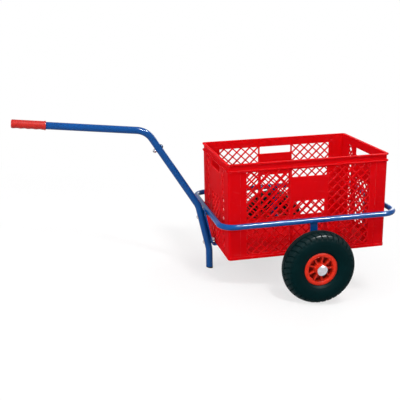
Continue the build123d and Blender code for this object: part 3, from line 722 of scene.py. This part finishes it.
def weld_beads(sizes):
    """Weld beads: a circle carried along each line, rounded at its ends and rippled on its length.

    The radius is the sixth-power round of the share along the line, times one plus a wave that
    leans round the bead, which gives the overlapping scales of a hand-laid weld.
    """
    ripple_height, ripple_lean = 0.07, 0.9
    no_bead_runs_here = np.array([0.3, 0.2, 0.93])
    lines = weld_lines()
    first, last = lines[:, 0], lines[:, 1]
    run = np.linalg.norm(last - first, axis=1)
    ahead = (last - first) / run[:, None]
    beside = np.cross(ahead, no_bead_runs_here)
    beside /= np.linalg.norm(beside, axis=1, keepdims=True)
    above = np.cross(ahead, beside)
    share = np.linspace(0.002, 0.998, 121)
    turn = full_turn(14)
    phase = tau * run[:, None, None] * share[:, None] / sizes.ripple_pitch
    ripple = 1 + ripple_height * np.cos(phase + ripple_lean * np.cos(turn))
    size = np.sqrt(1 - (2 * share - 1) ** 6)[:, None] * ripple * sizes.bead_radius
    path = first[:, None] + (last - first)[:, None] * share[:, None]
    round_it = np.cos(turn)[:, None] * beside[:, None] + np.sin(turn)[:, None] * above[:, None]
    grid = path[:, :, None] + size[..., None] * round_it[:, None]
    return surface("weld_beads", parked(grid))


class CART_OT_crate(bpy.types.Operator):
    """Gives the crate its moulded plastic"""

    bl_idname = "cart.crate"
    bl_label = "Crate"

    def execute(self, context):
        red = context.scene.cart_colours.crate
        plastic = moulded_plastic("crate_plastic", red, roughness=0.5, shine=0.008, glow=0.8)
        dress(plastic, "crate_plastic")
        return {"FINISHED"}


class CART_OT_frame(bpy.types.Operator):
    """Paints the ring, the straps, the axle lugs and the drawbar, and adds the weld beads"""

    bl_idname = "cart.frame"
    bl_label = "Painted frame"

    def execute(self, context):
        paint = powder_coat(context.scene.cart_colours.coat)
        dress(paint, "blue_coat")
        wear(weld_beads(context.scene.cart_sizes), "frame", paint)
        return {"FINISHED"}


class CART_OT_tyres(bpy.types.Operator):
    """Makes both tyres with their tread, and finishes the air tubes"""

    bl_idname = "cart.tyres"
    bl_label = "Tyres"

    def execute(self, context):
        colours, sizes = context.scene.cart_colours, context.scene.cart_sizes
        rubber = tyre_rubber(colours.rubber, colours.dust)
        for side in ("left", "right"):
            piece = tyre(f"treaded_tyre_{side}", f"tyre_{side}", f"rim_outer_{side}", sizes)
            wear(piece, f"wheel_{side}", rubber)
        dress(tube_rubber(colours.rubber), "tube_rubber")
        return {"FINISHED"}


class CART_OT_rims(bpy.types.Operator):
    """Gives the rims, bushes and valves their finishes"""

    bl_idname = "cart.rims"
    bl_label = "Rims and hubs"

    def execute(self, context):
        colours = context.scene.cart_colours
        low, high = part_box("tyre_right")
        web = abs(low.y + high.y) / 2
        rim = moulded_plastic("rim_plastic", colours.rim, roughness=0.26, shine=0.15, web=web)
        dress(rim, "rim_plastic")
        dress(moulded_plastic("bush_nylon", colours.nylon, roughness=0.42), "bush_plastic")
        dress(turned_brass(colours.brass), "valve_brass")
        return {"FINISHED"}


class CART_OT_grip(bpy.types.Operator):
    """Makes the handle grip, and finishes the foot cap and the valve caps"""

    bl_idname = "cart.grip"
    bl_label = "Grip and caps"

    def execute(self, context):
        colours, sizes = context.scene.cart_colours, context.scene.cart_sizes
        wear(handle_grip(sizes), "frame", grip_vinyl(colours.grip))
        dress(moulded_plastic("black_plastic", colours.black, roughness=0.46), "black_plastic")
        return {"FINISHED"}


class CART_OT_fasteners(bpy.types.Operator):
    """Plates the axle, its caps and washers, and the bolts"""

    bl_idname = "cart.fasteners"
    bl_label = "Axle and fasteners"

    def execute(self, context):
        colours = context.scene.cart_colours
        dress(plated_steel("zinc_plate", colours.zinc, roughness=0.12), "zinc")
        dress(plated_steel("blackened_steel", colours.blackened, roughness=0.3), "black_steel")
        return {"FINISHED"}


def lamp(name, power, place, target, size, lights=True, shows=True):
    """A soft lamp, a flat rectangle that faces a point.

    It lights the cart and shows in reflections, unless one of the two is turned off.
    """
    light = bpy.data.lights.new(name, "AREA")
    light.shape = "RECTANGLE"
    light.size, light.size_y = size
    light.energy = power
    made = bpy.data.objects.new(name, light)
    made.location = place
    made.rotation_euler = (Vector(target) - Vector(place)).to_track_quat("-Z", "Y").to_euler()
    made.visible_diffuse, made.visible_glossy = lights, shows
    bpy.context.scene.collection.objects.link(made)


def studio_floor(tint, bounce):
    """A flat disc: part paper, which takes the shadow, and part plain white where it is looked at.

    The white part grows with the distance until it takes up all of the disc. Bounce is the share
    of its colour with which the paper throws light back at the cart.
    """
    reach, white_near, fade = 40.0, 0.64, (0.7, 1.5)
    turn = full_turn(64)
    rings = np.array([0.05, 1.0])[:, None] * reach
    depth = np.array([-0.0004, -0.0006])[:, None] + 0 * turn
    grid = np.stack([rings * np.sin(turn), rings * np.cos(turn), depth], -1)
    floor = surface("studio_floor", grid[None])
    material = bpy.data.materials.new("studio_floor")
    material.use_nodes = True
    graph = Graph(material.node_tree)
    distance = graph.vector_math("LENGTH", graph.node("ShaderNodeTexCoord", output="Object"))
    seen = graph.seen_directly()
    white = seen * (white_near + distance.above(*fade) * (1 - white_near))
    tone = graph.mix(seen, shade(tint, bounce), tint)
    paper = graph.node("ShaderNodeBsdfDiffuse", None, {"Color": tone})
    glow = graph.node("ShaderNodeEmission")
    blend = graph.node("ShaderNodeMixShader", None, {0: white, 1: paper, 2: glow})
    graph.node("ShaderNodeOutputMaterial", None, {"Surface": blend})
    floor.data.materials.append(material)


def studio_sky(strength):
    """Even light all round, which looks plain white."""
    world = bpy.data.worlds.new("studio_sky")
    world.use_nodes = True
    bpy.context.scene.world = world
    graph = Graph(world.node_tree)
    level = strength + graph.seen_directly() * (1 - strength)
    light = graph.node("ShaderNodeBackground", None, {"Color": (1, 1, 1, 1), "Strength": level})
    graph.node("ShaderNodeOutputWorld", None, {"Surface": light})


def camera(settings):
    """The camera, turned about the level frame's directions: round, then down, then leaning."""
    view = bpy.data.cameras.new("photo_camera")
    view.lens = settings.lens
    view.sensor_width = 36
    made = bpy.data.objects.new("photo_camera", view)
    turned = (
        Matrix.Rotation(settings.camera_azimuth, 3, "Z")
        @ Matrix.Rotation(pi / 2 - settings.camera_elevation, 3, "X")
        @ Matrix.Rotation(settings.camera_roll, 3, "Z")
    )
    made.location = parked(settings.camera_place)
    made.rotation_euler = (Matrix(LEVEL.tolist()) @ turned).to_euler()
    return made


class CART_OT_stage(bpy.types.Operator):
    """Sets the floor, the sky, the lamps and the camera"""

    bl_idname = "cart.stage"
    bl_label = "Stage"

    def execute(self, context):
        settings = context.scene.cart_stage
        context.scene.view_settings.view_transform = "Standard"
        studio_floor(settings.floor_colour, settings.bounce)
        studio_sky(settings.sky)
        lamp(
            "key_lamp",
            settings.key_power,
            place=(0.4, -1.6, 3.2),
            target=(0.35, 0, 0.3),
            size=(0.7, 0.7),
        )
        lamp(
            "strip_lamp",
            settings.strip_power,
            place=(1.05, -1.75, 3.2),
            target=(1.05, -0.2, 0.3),
            size=(1.5, 0.2),
            lights=False,
        )
        lamp(
            "fill_lamp",
            settings.fill_power,
            place=(-3.4, -3.2, 1.9),
            target=(0.3, 0, 0.3),
            size=(3.0, 2.0),
            shows=False,
        )
        lamp(
            "back_lamp",
            settings.back_power,
            place=(2.6, 3.0, 2.2),
            target=(0.3, 0, 0.3),
            size=(2.0, 2.0),
        )
        context.scene.camera = camera(settings)
        context.scene.collection.objects.link(context.scene.camera)
        return {"FINISHED"}


STEPS = (
    CART_OT_crate,
    CART_OT_frame,
    CART_OT_tyres,
    CART_OT_rims,
    CART_OT_grip,
    CART_OT_fasteners,
    CART_OT_stage,
)

GROUPS = {"cart_colours": CartColours, "cart_sizes": CartSizes, "cart_stage": StageSettings}


class CART_PT_looks(bpy.types.Panel):
    """Lists the cart's pieces and the stage, with their settings"""

    bl_idname = "CART_PT_looks"
    bl_label = "Hand cart"
    bl_space_type = "VIEW_3D"
    bl_region_type = "UI"
    bl_category = "Hand cart"

    def draw(self, context):
        for step in STEPS:
            self.layout.operator(step.bl_idname)
        for group, kind in GROUPS.items():
            for name in kind.__annotations__:
                self.layout.prop(getattr(context.scene, group), name)


def register():
    """Registers the classes and keeps the groups of settings on the scene."""
    for kind in (*GROUPS.values(), *STEPS, CART_PT_looks):
        bpy.utils.register_class(kind)
    for name, kind in GROUPS.items():
        setattr(bpy.types.Scene, name, PointerProperty(type=kind))


def unregister():
    """Takes the settings and the classes away again."""
    for name in GROUPS:
        delattr(bpy.types.Scene, name)
    for kind in (CART_PT_looks, *reversed(STEPS), *GROUPS.values()):
        bpy.utils.unregister_class(kind)


def main():
    """Runs every step in order."""
    register()
    bpy.ops.cart.crate()
    bpy.ops.cart.frame()
    bpy.ops.cart.tyres()
    bpy.ops.cart.rims()
    bpy.ops.cart.grip()
    bpy.ops.cart.fasteners()
    bpy.ops.cart.stage()


if __name__ == "__main__":
    main()
